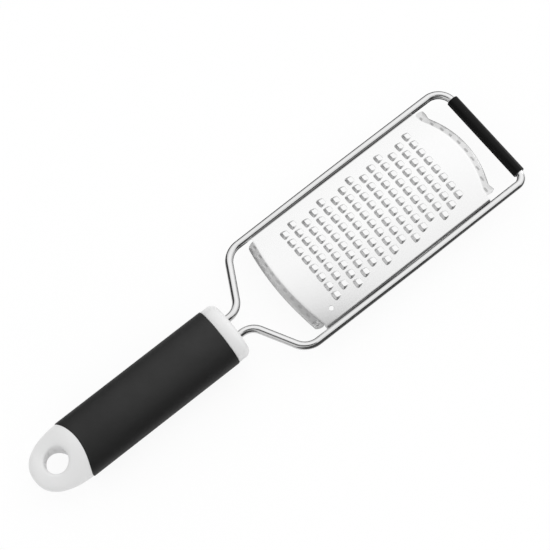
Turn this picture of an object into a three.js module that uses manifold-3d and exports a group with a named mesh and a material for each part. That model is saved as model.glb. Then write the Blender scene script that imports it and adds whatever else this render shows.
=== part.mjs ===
// A hand-held coarse grater: a bowed, toothed steel plate welded between the rails of a bent wire frame,
// a rubber sleeve on the frame's crossbar, and an oval handle of a white core with a soft black grip.
// Millimetres, +Z up. It lies on its back with its teeth up and +X runs to the tip. The origin is on the
// surface that the grip rests on, below the middle of the tool.
import * as THREE from "three";
import { mergeVertices } from "three/addons/utils/BufferGeometryUtils.js";
import Module from "manifold-3d";

// Wire frame: one round wire, bent in one plane. Left is +Y, right is -Y.
const wireDiameter = 4.3;
const railSpacing = 67.2; // between the centre lines of the two rails
const neckSpacing = 10.6; // between the centre lines of the two wires where they leave the handle
const neckStraight = 2; // straight wire between the handle's front face and the first bend
const splayLength = 15.2; // along the tool, from the neck's corner to the shoulder's
const railLength = 144.8; // shoulder's corner to the crossbar's centre line
const neckBendRadius = 9.6;
const shoulderBendRadius = 11.4;
const leftTipBendRadius = 9.5;
const rightTipBendRadius = 5;
const tangLength = 70; // each wire's end inside the handle

// Sleeve: a rubber tube over the straight part of the crossbar.
const sleeveWall = 0.85;
const sleeveEndClearance = 0.2; // to the start of each tip bend

// Plate: bowed sheet steel with rolled edges along the rails and a bent lip at each end.
const plateThickness = 0.5;
const shoulderToPlate = 14.2; // shoulder's corner to the plate's heel end
const lipToSleeve = 8; // the tip lip's crown to the sleeve
const plateRise = 4.5; // top of the plate's crown above the wire's plane
const bowRadius = 133;
const edgeRoll = 0.7; // width and drop of the rolled edge
const flangeDepth = 0.9; // straight part of the rolled edge
const weldGap = 0.3; // rolled edge to wire
const heelArch = 3.1; // how far the bend line bulges past the plate's ends
const tipArch = 6.4;
const tipArchInset = 2.6; // the tip's arch ends this far short of the lip's ends
const lipWidth = 4.5;
const lipAngle = 20; // degrees below the plate
const lipEndInset = 1.9; // lip's ends to the start of the rolled edges
const cornerHoleDiameter = 2;
const cornerHoleFromHeel = 8.2;
const cornerHoleFromRoll = 5.8;

// Teeth: a hole with a raised cutting lip on its handle side, in rows that shift by a third of the pitch.
const toothHoleLength = 2.9;
const toothHoleWidth = 3.1;
const toothEdgeWidth = 1.5; // straight part of the cutting edge
const toothLipHeight = 1;
const toothLipFront = 1.1; // width of the lip's slope on the handle side
const toothLipSide = 0.45; // and beside the hole
const rowLand = 2.4; // bare plate from one tooth to the next along the tool
const columnLand = 2; // and across it
const rowShifts = [0, 1, -1]; // thirds of the column pitch, towards +Y, repeated from the heel
const heelMargin = 11.5; // plate's heel end to the first row
const tipMargin = 7.4; // least bare plate between the last row and the plate's tip end
const sideMargin = 2.2; // least bare plate between the teeth and the lines of the lips' ends

// Handle: an oval core with a waist that holds the grip, and a flattened tail with a hang hole.
const gripWidth = 33.6;
const gripHeight = 26.4;
const gripLength = 88.5; // along the top
const gripWall = 2.4;
const gripProud = 0.3; // the grip stands this much above the core's collar and tail
const fitGap = 0.3; // between core, grip, wire and sleeve
const collarLength = 8.2;
const collarRim = 3.8; // rounding of the collar's front edge
const tailArch = 4.6; // the grip's rear edge reaches this much further back at its sides than on top
const hangHoleDiameter = 13;
const hangHoleWall = 8.3; // hang hole to the end of the tail
const tailNeck = 3.5; // grip's rear edge at its sides to the hang hole
const tailEndHeight = 10;
const tailOutlinePower = 2.3; // 2 is an ellipse, more is squarer
const tailTaperShare = 0.75; // share of the tail over which its height falls
const tailEndPower = 10; // how abruptly the end rounds over
const tailCapShare = 0.995; // share of the outline kept before the flat at its very end

// Facets and cuts.
const handleSides = 36;
const wireSides = 12;
const sleeveSides = 16;
const boreSides = 24;
const rimSteps = 4;
const tailSteps = 11;
const bendStep = THREE.MathUtils.degToRad(14);
const overcut = 3; // how far a cut runs past the face that it opens

const wireRadius = wireDiameter / 2;
const sleeveRadius = wireRadius + fitGap + sleeveWall;
const splayAngle = Math.atan2((railSpacing - neckSpacing) / 2, splayLength);
const neckX = neckStraight + neckBendRadius * Math.tan(splayAngle / 2);
const shoulderX = neckX + splayLength;
const crossbarX = shoulderX + railLength;
const tailLength = tailNeck + hangHoleDiameter + hangHoleWall;
const tailReach = collarLength + gripLength + tailArch + tailLength;
const tipReach = crossbarX + sleeveRadius;

const wasm = await Module();
wasm.setup();

// A closed mesh as a solid that can be cut, and back.
function toSolid(geometry) {
  const bare = geometry.clone();
  bare.deleteAttribute("normal");
  bare.deleteAttribute("uv");
  const merged = mergeVertices(bare);
  const vertProperties = new Float32Array(merged.attributes.position.array);
  const triVerts = new Uint32Array(merged.index.array);
  return new wasm.Manifold(new wasm.Mesh({ numProp: 3, vertProperties, triVerts }));
}

function toGeometry(solid) {
  const mesh = solid.getMesh();
  const geometry = new THREE.BufferGeometry();
  geometry.setAttribute("position", new THREE.BufferAttribute(new Float32Array(mesh.vertProperties), 3));
  geometry.setIndex(Array.from(mesh.triVerts));
  return geometry;
}

function indexedGeometry(points, faces) {
  const geometry = new THREE.BufferGeometry();
  geometry.setFromPoints(points);
  geometry.setIndex(faces.flat());
  return geometry;
}

// A path with one step from each point to the next, so that a long straight takes a single step.
class PointPath extends THREE.Curve {
  constructor(points) {
    super();
    this.points = points;
  }

  getPoint(t, target = new THREE.Vector3()) {
    const place = t * (this.points.length - 1);
    const step = Math.min(Math.floor(place), this.points.length - 2);
    return target.lerpVectors(this.points[step], this.points[step + 1], place - step);
  }

  getUtoTmapping(u) {
    return u;
  }
}

// Points on the arc of a given radius that rounds a corner between two straights.
function bend(before, corner, after, radius) {
  const back = before.clone().sub(corner).normalize();
  const ahead = after.clone().sub(corner).normalize();
  const halfAngle = back.angleTo(ahead) / 2;
  const turn = Math.PI - 2 * halfAngle;
  const middle = back.clone().add(ahead).normalize();
  const centre = corner.clone().addScaledVector(middle, radius / Math.sin(halfAngle));
  const start = corner.clone().addScaledVector(back, radius / Math.tan(halfAngle)).sub(centre);
  const forward = back.clone().negate();
  const steps = Math.ceil(turn / bendStep);
  const points = [];
  for (let i = 0; i <= steps; i++) {
    const angle = (turn * i) / steps;
    const spoke = start.clone().multiplyScalar(Math.cos(angle));
    points.push(centre.clone().add(spoke.addScaledVector(forward, radius * Math.sin(angle))));
  }
  return points;
}

// Centre line of the wire: from one tang's end in the handle, round the frame, to the other tang's end.
function wirePath() {
  const corner = (x, y, radius) => ({ at: new THREE.Vector3(x, y, 0), radius });
  const corners = [
    corner(-tangLength, neckSpacing / 2),
    corner(neckX, neckSpacing / 2, neckBendRadius),
    corner(shoulderX, railSpacing / 2, shoulderBendRadius),
    corner(crossbarX, railSpacing / 2, leftTipBendRadius),
    corner(crossbarX, -railSpacing / 2, rightTipBendRadius),
    corner(shoulderX, -railSpacing / 2, shoulderBendRadius),
    corner(neckX, -neckSpacing / 2, neckBendRadius),
    corner(-tangLength, -neckSpacing / 2),
  ];
  const points = [corners[0].at];
  for (let i = 1; i < corners.length - 1; i++) {
    points.push(...bend(corners[i - 1].at, corners[i].at, corners[i + 1].at, corners[i].radius));
  }
  points.push(corners[corners.length - 1].at);
  return new PointPath(points);
}

function wireFrame() {
  const section = [];
  for (let i = 0; i < wireSides; i++) {
    const angle = (2 * Math.PI * i) / wireSides;
    section.push(new THREE.Vector2(Math.cos(angle), Math.sin(angle)).multiplyScalar(wireRadius));
  }
  const extrudePath = wirePath();
  const steps = extrudePath.points.length - 1;
  return new THREE.ExtrudeGeometry(new THREE.Shape(section), { steps, bevelEnabled: false, extrudePath });
}

// Sleeve: a tube about Y, as long as the straight of the crossbar between the two tip bends.
function tipSleeve() {
  const leftEnd = railSpacing / 2 - leftTipBendRadius - sleeveEndClearance;
  const rightEnd = rightTipBendRadius + sleeveEndClearance - railSpacing / 2;
  const bore = wireRadius + fitGap;
  const profile = [
    new THREE.Vector2(bore, rightEnd),
    new THREE.Vector2(sleeveRadius, rightEnd),
    new THREE.Vector2(sleeveRadius, leftEnd),
    new THREE.Vector2(bore, leftEnd),
    new THREE.Vector2(bore, rightEnd),
  ];
  return new THREE.LatheGeometry(profile, sleeveSides);
}

// Plate: its rolled edges lie against the inner sides of the rails, and its rows of teeth fill its length.
const lipRun = lipWidth * Math.cos(THREE.MathUtils.degToRad(lipAngle));
const lipDrop = lipWidth * Math.sin(THREE.MathUtils.degToRad(lipAngle));
const plateHalfWidth = railSpacing / 2 - wireRadius - weldGap;
const bowedHalfWidth = plateHalfWidth - edgeRoll;
const lipHalfLength = bowedHalfWidth - lipEndInset;
const heelX = shoulderX + shoulderToPlate;
const tipX = crossbarX - sleeveRadius - lipToSleeve - lipRun - tipArch;
const rowPitch = toothLipFront + toothHoleLength + rowLand;
const columnPitch = toothHoleWidth + 2 * toothLipSide + columnLand;
const rowCount = Math.floor((tipX - heelX - heelMargin - tipMargin) / rowPitch);
const shiftRoom = (Math.max(...rowShifts) - Math.min(...rowShifts)) / 3;
const columnCount = Math.floor((2 * (lipHalfLength - sideMargin)) / columnPitch - shiftRoom);

function crownHeight(y) {
  return plateRise - (y * y) / (2 * bowRadius);
}

// Bulge of a circular arch over its chord, at y from its middle. Zero beyond the chord's ends.
function archBulge(y, halfChord, bulge) {
  if (Math.abs(y) >= halfChord) {
    return 0;
  }
  const radius = (halfChord * halfChord + bulge * bulge) / (2 * bulge);
  return Math.sqrt(radius * radius - y * y) - (radius - bulge);
}

// Section across the plate, from -Y to +Y: places on the top face and on the face under it.
function plateStations() {
  const rollZ = crownHeight(bowedHalfWidth) - edgeRoll;
  const flangeZ = rollZ - flangeDepth;
  const mitre = plateThickness * Math.tan(Math.PI / 8);
  const innerHalfWidth = plateHalfWidth - plateThickness;
  const station = (y, z, underY, underZ) => ({ y, z, underY, underZ });
  const bowed = (y) => station(y, crownHeight(y), y, crownHeight(y) - plateThickness);
  const edge = (side) => [
    station(side * plateHalfWidth, flangeZ, side * innerHalfWidth, flangeZ),
    station(side * plateHalfWidth, rollZ, side * innerHalfWidth, rollZ - mitre),
    { ...bowed(side * bowedHalfWidth), underY: side * (bowedHalfWidth - mitre) },
    bowed(side * lipHalfLength),
  ];
  const toothed = [];
  for (let i = 0; i <= 3 * (columnCount + shiftRoom); i++) {
    toothed.push(bowed((columnPitch * (2 * i - 3 * (columnCount + shiftRoom))) / 6));
  }
  return [...edge(-1), ...toothed, ...edge(1).reverse()];
}

// Lines across the plate, from heel to tip: the place along the tool and the drop below the bow, at each y.
function plateLines() {
  const heelBend = (y) => heelX - archBulge(y, lipHalfLength, heelArch);
  const tipBend = (y) => tipX + archBulge(y, lipHalfLength - tipArchInset, tipArch);
  const lines = [{ x: (y) => heelBend(y) - lipRun, drop: lipDrop, lip: true }, { x: heelBend, drop: 0 }];
  for (let row = 0; row <= rowCount; row++) {
    lines.push({ x: () => heelX + heelMargin + row * rowPitch, drop: 0 });
  }
  lines.push({ x: tipBend, drop: 0 }, { x: (y) => tipBend(y) + lipRun, drop: lipDrop, lip: true });
  return lines;
}

// Corners of a tooth about the middle of its cutting edge, as [along, across, height]: the hole, and the
// foot of its lip, which meets the hole on the tip side.
function toothLoops() {
  const half = toothHoleWidth / 2;
  const edge = toothEdgeWidth / 2;
  const cut = half - edge;
  const shoulderHeight = toothLipHeight * (1 - cut / toothHoleLength);
  const hole = [
    [toothHoleLength, -half, 0],
    [toothHoleLength, half, 0],
    [cut, half, shoulderHeight],
    [0, edge, toothLipHeight],
    [0, -edge, toothLipHeight],
    [cut, -half, shoulderHeight],
  ];
  const footCorner = cut - toothLipFront / 2;
  const footEdge = edge + cut / 2;
  const foot = [
    hole[0],
    hole[1],
    [footCorner, half + toothLipSide, 0],
    [-toothLipFront, footEdge, 0],
    [-toothLipFront, -footEdge, 0],
    [footCorner, -half - toothLipSide, 0],
  ];
  return { hole, foot };
}

// Faces between two loops that run the same way, taking the shorter cross edge at each step.
function stitch(points, outer, inner) {
  const span = (a, b) => points[a].distanceTo(points[b]);
  const fromInner = outer.map((vertex) => span(vertex, inner[0]));
  const start = fromInner.indexOf(Math.min(...fromInner));
  const turned = outer.map((_, k) => outer[(k + start) % outer.length]);
  const faces = [];
  let o = 0;
  let i = 0;
  while (o < turned.length || i < inner.length) {
    const a = turned[o % turned.length];
    const b = inner[i % inner.length];
    const nextA = turned[(o + 1) % turned.length];
    const nextB = inner[(i + 1) % inner.length];
    const outerFirst = i === inner.length || (o < turned.length && span(nextA, b) <= span(a, nextB));
    faces.push(outerFirst ? [a, nextA, b] : [a, nextB, b]);
    o += outerFirst ? 1 : 0;
    i += outerFirst ? 0 : 1;
  }
  return faces;
}

// A sheet with every vertex's twin on its under face, closed by a wall along each free edge.
function closeSheet(top, under, faces) {
  const twin = top.length;
  const edges = new Set(faces.flatMap(([a, b, c]) => [`${a},${b}`, `${b},${c}`, `${c},${a}`]));
  const walls = [];
  for (const edge of edges) {
    const [a, b] = edge.split(",").map(Number);
    if (!edges.has(`${b},${a}`)) {
      walls.push([a, a + twin, b + twin], [a, b + twin, b]);
    }
  }
  const underFaces = faces.map(([a, b, c]) => [a + twin, c + twin, b + twin]);
  return indexedGeometry([...top, ...under], [...faces, ...underFaces, ...walls]);
}

function gratingPlate() {
  const stations = plateStations();
  const lines = plateLines();
  const top = [];
  const under = [];
  const faces = [];
  const addPoint = (x, y, z, underY, underZ) => {
    top.push(new THREE.Vector3(x, y, z));
    under.push(new THREE.Vector3(x, underY, underZ));
    return top.length - 1;
  };
  const grid = lines.map((line) => stations.map(({ y, z, underY, underZ }) => {
    const beyondLip = line.lip && Math.abs(y) > lipHalfLength;
    return beyondLip ? null : addPoint(line.x(y), y, z - line.drop, underY, underZ - line.drop);
  }));

  // Teeth, each in a patch between two lines and four stations.
  const { hole, foot } = toothLoops();
  const firstStation = stations.findIndex(({ y }) => y === -lipHalfLength) + 1 - Math.min(...rowShifts);
  const firstLine = lines.findIndex(({ lip }) => !lip) + 1;
  const toothed = new Set();
  for (let row = 0; row < rowCount; row++) {
    const line = firstLine + row;
    const edgeX = heelX + heelMargin + row * rowPitch + rowLand / 2 + toothLipFront;
    for (let column = 0; column < columnCount; column++) {
      const s = firstStation + 3 * column + rowShifts[row % rowShifts.length];
      const edgeY = (stations[s].y + stations[s + 3].y) / 2;
      const place = ([along, across, height]) => {
        const y = edgeY + across;
        const z = crownHeight(y) + height;
        return addPoint(edgeX + along, y, z, y, z - plateThickness);
      };
      const holeLoop = hole.map(place);
      const footLoop = foot.map((corner, k) => (corner === hole[k] ? holeLoop[k] : place(corner)));
      const heelSide = [s + 3, s + 2, s + 1, s].map((k) => grid[line][k]);
      const tipSide = [s, s + 1, s + 2, s + 3].map((k) => grid[line + 1][k]);
      faces.push(...stitch(top, [...tipSide, ...heelSide], footLoop));
      for (let k = 0; k < hole.length; k++) {
        const next = (k + 1) % hole.length;
        faces.push([footLoop[k], footLoop[next], holeLoop[next]]);
        faces.push([footLoop[k], holeLoop[next], holeLoop[k]]);
      }
      [s, s + 1, s + 2].forEach((k) => toothed.add(`${line},${k}`));
    }
  }

  // Bare plate, rolled edges and lips.
  for (let line = 0; line < lines.length - 1; line++) {
    for (let s = 0; s < stations.length - 1; s++) {
      const [a, b, c, d] = [grid[line][s], grid[line + 1][s], grid[line + 1][s + 1], grid[line][s + 1]];
      if (!toothed.has(`${line},${s}`) && ![a, b, c, d].includes(null)) {
        faces.push([a, b, c], [a, c, d]);
      }
    }
  }
  const threeCornered = faces.filter(([a, b, c]) => a !== b && b !== c && c !== a);
  const sheet = toSolid(closeSheet(top, under, threeCornered));

  const holeY = cornerHoleFromRoll - bowedHalfWidth;
  const depth = plateThickness + 2 * overcut;
  const drill = new THREE.CylinderGeometry(cornerHoleDiameter / 2, cornerHoleDiameter / 2, depth, wireSides);
  drill.rotateX(Math.PI / 2);
  drill.translate(heelX + cornerHoleFromHeel, holeY, crownHeight(holeY));
  return toGeometry(sheet.subtract(toSolid(drill)));
}

// Rings of equal counts joined side by side, from tip to tail. The ends are capped, or the last ring joins
// the first.
function loft(rings, ringsClose) {
  const count = rings[0].length;
  const points = rings.flat();
  const faces = [];
  const spans = ringsClose ? rings.length : rings.length - 1;
  for (let r = 0; r < spans; r++) {
    const near = r * count;
    const far = ((r + 1) % rings.length) * count;
    for (let i = 0; i < count; i++) {
      const next = (i + 1) % count;
      faces.push([near + i, far + next, far + i]);
      faces.push([near + i, near + next, far + next]);
    }
  }
  if (!ringsClose) {
    const last = points.length - count;
    for (let i = 1; i < count - 1; i++) {
      faces.push([0, i + 1, i]);
      faces.push([last, last + i, last + i + 1]);
    }
  }
  return indexedGeometry(points, faces);
}

// One oval ring of the handle, given what puts a point of the unit ring in its place. The ring's flats touch
// the unit circle, so the lowest facet lies at the full half height.
function ovalRing(place) {
  const halfStep = Math.PI / handleSides;
  const ring = [];
  for (let i = 0; i < handleSides; i++) {
    const angle = (2 * i + 1) * halfStep;
    ring.push(place(Math.sin(angle) / Math.cos(halfStep), Math.cos(angle) / Math.cos(halfStep)));
  }
  return ring;
}

function straightRing(x, halfWidth, halfHeight) {
  return ovalRing((across, up) => new THREE.Vector3(x, across * halfWidth, up * halfHeight));
}

// Along the tool, the grip's rear edge is at rearX on top and underneath, and further back at its sides.
function archedX(rearX, across) {
  return rearX - tailArch * across * across;
}

function archedRing(rearX, halfWidth, halfHeight) {
  return ovalRing((across, up) => {
    return new THREE.Vector3(archedX(rearX, across), across * halfWidth, up * halfHeight);
  });
}

const gripHalfWidth = gripWidth / 2;
const gripHalfHeight = gripHeight / 2;
const gripFrontX = -collarLength;
const gripRearX = gripFrontX - gripLength;
const coreHalfWidth = gripHalfWidth - gripProud;
const coreHalfHeight = gripHalfHeight - gripProud;

// The tail's half width and half height at a place along the tool.
function tailSection(x) {
  const side = tailCapShare * THREE.MathUtils.clamp((gripRearX - tailArch - x) / tailLength, 0, 1);
  const top = tailCapShare * THREE.MathUtils.clamp((gripRearX - x) / (tailArch + tailLength), 0, 1);
  const ease = (1 + Math.cos(Math.PI * Math.min(top / tailTaperShare, 1))) / 2;
  const tapered = tailEndHeight / 2 + (coreHalfHeight - tailEndHeight / 2) * ease;
  return {
    halfWidth: coreHalfWidth * (1 - side ** tailOutlinePower) ** (1 / tailOutlinePower),
    halfHeight: tapered * Math.sqrt(1 - top ** tailEndPower),
  };
}

function handleCore() {
  const waistHalfWidth = gripHalfWidth - gripWall - fitGap;
  const waistHalfHeight = gripHalfHeight - gripWall - fitGap;
  const rings = [];
  for (let i = 0; i <= rimSteps; i++) {
    const angle = (Math.PI / 2) * (i / rimSteps);
    const inset = collarRim * (1 - Math.sin(angle));
    const x = collarRim * (Math.cos(angle) - 1);
    rings.push(straightRing(x, coreHalfWidth - inset, coreHalfHeight - inset));
  }
  rings.push(straightRing(gripFrontX, coreHalfWidth, coreHalfHeight));
  rings.push(straightRing(gripFrontX, waistHalfWidth, waistHalfHeight));
  rings.push(archedRing(gripRearX, waistHalfWidth, waistHalfHeight));
  for (let i = 0; i <= tailSteps; i++) {
    const share = 1 - (1 - i / tailSteps) ** 2;
    rings.push(ovalRing((across, up) => {
      const x = THREE.MathUtils.lerp(archedX(gripRearX, across), -tailReach, share);
      const { halfWidth, halfHeight } = tailSection(x);
      return new THREE.Vector3(x, across * halfWidth, up * halfHeight);
    }));
  }
  const body = toSolid(loft(rings, false));

  const holeRadius = hangHoleDiameter / 2;
  const hangHole = new THREE.CylinderGeometry(holeRadius, holeRadius, gripHeight + 2 * overcut, boreSides);
  hangHole.rotateX(Math.PI / 2);
  hangHole.translate(hangHoleWall + holeRadius - tailReach, 0, 0);
  const socketRadius = wireRadius + fitGap;
  const socketDepth = tangLength + fitGap;
  const sockets = [1, -1].map((side) => {
    const socket = new THREE.CylinderGeometry(socketRadius, socketRadius, socketDepth + overcut, wireSides);
    socket.rotateZ(Math.PI / 2);
    socket.translate((overcut - socketDepth) / 2, (side * neckSpacing) / 2, 0);
    return toSolid(socket);
  });
  return toGeometry(body.subtract(toSolid(hangHole)).subtract(sockets[0]).subtract(sockets[1]));
}

function softGrip() {
  const boreHalfWidth = gripHalfWidth - gripWall;
  const boreHalfHeight = gripHalfHeight - gripWall;
  const frontX = gripFrontX - fitGap;
  const rearX = gripRearX + fitGap;
  const rings = [
    straightRing(frontX, gripHalfWidth, gripHalfHeight),
    archedRing(rearX, gripHalfWidth, gripHalfHeight),
    archedRing(rearX, boreHalfWidth, boreHalfHeight),
    straightRing(frontX, boreHalfWidth, boreHalfHeight),
  ];
  return loft(rings, true);
}

const polishedSteel = new THREE.MeshStandardMaterial({ color: 0xd4d4d4, roughness: 0.12, metalness: 1 });
const satinSteel = new THREE.MeshStandardMaterial({ color: 0xdadada, roughness: 0.32, metalness: 1 });
const whitePlastic = new THREE.MeshStandardMaterial({ color: 0xe4e4e4, roughness: 0.38, metalness: 0 });
const blackGripRubber = new THREE.MeshStandardMaterial({ color: 0x232323, roughness: 0.62, metalness: 0 });
const blackTubeRubber = new THREE.MeshStandardMaterial({ color: 0x151515, roughness: 0.5, metalness: 0 });

function piece(name, geometry, material) {
  const mesh = new THREE.Mesh(geometry, material);
  mesh.name = name;
  return mesh;
}

const sleeve = piece("tip_sleeve", tipSleeve(), blackTubeRubber);
sleeve.position.x = crossbarX;

const grater = new THREE.Group();
grater.add(piece("wire_frame", wireFrame(), polishedSteel));
grater.add(sleeve);
grater.add(piece("grating_plate", gratingPlate(), satinSteel));
grater.add(piece("handle_core", handleCore(), whitePlastic));
grater.add(piece("soft_grip", softGrip(), blackGripRubber));
grater.position.set((tailReach - tipReach) / 2, 0, gripHalfHeight);

export default grater;
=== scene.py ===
"""Looks of a hand-held coarse grater: a toothed steel sheet between the rails of a bent wire, a rubber
tube on the wire's crossbar, and a white handle with a soft black grip.

Lengths are millimetres in the tool's own coordinates: x runs from the collar's front face to the tip, y
across the sheet and z up from the wire's plane. A mesh is put into the frame, in metres, when it is made.
"""
import math

import bpy
import numpy as np
from mathutils import Matrix, Vector


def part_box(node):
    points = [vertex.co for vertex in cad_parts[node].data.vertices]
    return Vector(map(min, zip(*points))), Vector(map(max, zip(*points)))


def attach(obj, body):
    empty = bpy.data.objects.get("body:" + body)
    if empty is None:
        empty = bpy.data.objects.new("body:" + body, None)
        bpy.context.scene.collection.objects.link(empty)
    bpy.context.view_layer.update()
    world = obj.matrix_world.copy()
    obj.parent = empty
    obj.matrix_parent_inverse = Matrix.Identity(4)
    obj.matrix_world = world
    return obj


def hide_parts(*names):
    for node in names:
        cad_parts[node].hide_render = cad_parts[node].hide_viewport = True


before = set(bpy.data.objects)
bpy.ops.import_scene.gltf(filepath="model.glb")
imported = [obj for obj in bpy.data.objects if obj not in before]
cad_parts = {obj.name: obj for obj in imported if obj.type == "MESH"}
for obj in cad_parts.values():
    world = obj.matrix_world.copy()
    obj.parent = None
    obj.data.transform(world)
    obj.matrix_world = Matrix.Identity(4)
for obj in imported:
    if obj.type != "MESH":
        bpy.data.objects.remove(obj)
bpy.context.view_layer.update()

MM = 0.001
core_lo, core_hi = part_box("handle_core")
grip_lo, grip_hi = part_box("soft_grip")
tube_lo, tube_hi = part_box("tip_sleeve")
wire_lo, wire_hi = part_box("wire_frame")
sheet_lo, sheet_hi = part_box("grating_plate")
DATUM = np.array([core_hi.x, 0.0, (grip_lo.z + grip_hi.z) / 2])


def along(x):
    """A place along the frame's X, in metres, as millimetres from the collar's front face."""
    return (x - DATUM[0]) / MM


def half_size(low, high):
    """Half of the way between two places in the frame, in millimetres."""
    return (high - low) / 2 / MM


# Wire frame.
WIRE_RADIUS = 2.15
WIRE_SIDES = 40
NECK_HALF = 5.3
NECK_STRAIGHT = 2.0
SPLAY_LENGTH = 15.2
NECK_BEND = 9.6
SHOULDER_BEND = 11.4
LEFT_TIP_BEND = 10.0
RIGHT_TIP_BEND = 5.0
BEND_STEPS = 24
RAIL_SPREAD = 0.32
RAIL_BOW = 0.1
RAIL_BOW_RADIUS = 2500.0
SHOULDER_INSET = 0.35
RAIL_Y = half_size(wire_lo.y, wire_hi.y) - WIRE_RADIUS + RAIL_SPREAD
CROSSBAR_X = along((tube_lo.x + tube_hi.x) / 2)
TANG_END_X = along(wire_lo.x)
SPLAY_ANGLE = math.atan2(RAIL_Y - NECK_HALF, SPLAY_LENGTH)
NECK_X = NECK_STRAIGHT + NECK_BEND * math.tan(SPLAY_ANGLE / 2)
SHOULDER_X = NECK_X + SPLAY_LENGTH

# Rubber tube on the crossbar.
TUBE_RADIUS = half_size(tube_lo.z, tube_hi.z)
TUBE_CLEARANCE = 0.03
TUBE_BORE = WIRE_RADIUS + TUBE_CLEARANCE
TUBE_EDGE = 0.3
TUBE_OVERHANG = 0.7
TUBE_SIDES = 64

# Toothed sheet.
SHEET_THICKNESS = 0.5
SHEET_CREASE = 40.0
SHEET_LIFT = 0.1
TOOTH_HEIGHT = 1.0
SHEET_RISE = (sheet_hi.z - DATUM[2]) / MM - TOOTH_HEIGHT + SHEET_LIFT
BOW_RADIUS = 190.0
EDGE_ROLL = 1.4
EDGE_WIDER = 0.65
FLANGE_DEPTH = 0.3
SHEET_HALF = half_size(sheet_lo.y, sheet_hi.y) + EDGE_WIDER
BOWED_HALF = SHEET_HALF - EDGE_ROLL
# Painted shade: the grooves between the sheet's rolled edges and the rails are darkened from just past the
# bow, over a fade.
GROOVE_SHADE_PAST_BOW = 0.3
GROOVE_SHADE_FROM = BOWED_HALF + GROOVE_SHADE_PAST_BOW
GROOVE_SHADE_FADE = 0.6
LIP_INSET = 1.85
LIP_HALF = BOWED_HALF - LIP_INSET
LIP_WIDTH = 4.5
LIP_ANGLE = math.radians(20)
LIP_RUN = LIP_WIDTH * math.cos(LIP_ANGLE)
LIP_BEND_RADIUS = 1.2
LIP_END_RADIUS = 3.2
LIP_RIM = 0.5
LIP_FADE = 0.5
HEEL_END_WIDER = 0.8
HEEL_END_EASE = 0.08
HEEL_END_ROUND = 2.4
HEEL_END_SHARE = 0.97
TIP_LIP_SHIFT = 0.8
TIP_SHIFT_EASE = 0.2
TAB_FROM = 23.5
TAB_LENGTH = 4.0
TAB_STRETCH = 0.35
HEEL_GAP = 14.2
HEEL_X = SHOULDER_X + HEEL_GAP
HEEL_ARCH = 3.1
HEEL_EASE = 0.4
TIP_GAP = 8.0
TIP_ARCH = 6.4
TIP_ARCH_INSET = 2.8
TIP_ARCH_HALF = LIP_HALF - TIP_ARCH_INSET
TIP_EASE = 0.7
TIP_X = CROSSBAR_X - TUBE_RADIUS - TIP_GAP - LIP_RUN - TIP_ARCH
CORNER_SAG = 1.2
SAG_LENGTH = 42.0
SAG_FROM_Y = 10.0
SAG_WIDTH = 38.0
SAG_POWER = 1.5

# Teeth. The shares lead from just outside the foot of a tooth's lip to the edge of its hole.
HOLE_LENGTH = 2.9
HOLE_WIDTH = 3.1
HOLE_POWER = 6
TOOTH_FRONT = 1.45
TOOTH_SIDE = 1.2
TOOTH_REAR = 0.15
FOOT_POWER = 5
TOOTH_SHARES = np.array([1.1, 1, 0.9, 0.5, 0.1, 0])
TOOTH_FALL_POWER = 1.2
TOOTH_SLOPE_POWER = 1.05
ROW_PITCH = 6.4
COLUMN_PITCH = 6.0
ROWS = 14
COLUMNS = 8
ROW_SHIFTS = np.array([0, 1, -1])
FIELD_FROM_HEEL = 11.5
FIRST_ROW_X = HEEL_X + FIELD_FROM_HEEL
LAST_ROW_X = FIRST_ROW_X + ROWS * ROW_PITCH
EDGE_FROM_ROW = 2.3

# Corner hole, and the marks pressed into the lips. Each has rings at shares of its outline, which are
# sunk into the sheet, and a mark's tone is how dark each ring is.
CORNER_HOLE_FROM_HEEL = 8.2
CORNER_HOLE = (HEEL_X + CORNER_HOLE_FROM_HEEL, -24.65)
CORNER_HOLE_RADIUS = 1.3
CORNER_HOLE_SHARES = np.array([1.25, 1.06, 1.0])
CORNER_HOLE_SINKS = np.array([0, 0, 0.08])
MARKS = 10
MARK_PITCH = 5.75
MARK_LENGTH = 1.35
MARK_WIDTH = 2.7
MARK_POWER = 3
MARK_FROM_BEND = 1.5
MARK_SHARES = np.array([1.25, 1.05, 0.8, 0.3])
MARK_SINKS = np.array([0, 0.01, 0.06, 0.07])
MARK_TONES = np.array([0, 0.5, 1, 1])
RING_RADIUS = 1.65
RING_FROM_BEND = 2.1
RING_SHARES = np.array([1.0, 0.84, 0.66, 0.5, 0.24])
RING_SINKS = np.array([0, 0.18, -0.12, -0.12, 0.16])
RING_TONES = np.array([0, 1, 0, 0, 1])

# Grid of the sheet: lines from heel to tip, and stations across, a millimetre apart between the teeth.
LIP_LINES = np.array([1, 0.985, 0.955, 0.91, 0.8, 0.68, 0.55, 0.42, 0.29, 0.17, 0.08])
LIP_STEPS = len(LIP_LINES)
MARGIN_STEPS = 12
ROW_STEPS = 6
FIELD_HALF = 28
ROLL_STEPS = 7
MARK_FIRST_STEP = 3
MARK_STEPS = 7
MARK_STATIONS = 4
CORNER_HOLE_STEP = 7
CORNER_HOLE_STATIONS = 4
RING_LIMIT = 0.96

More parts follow.
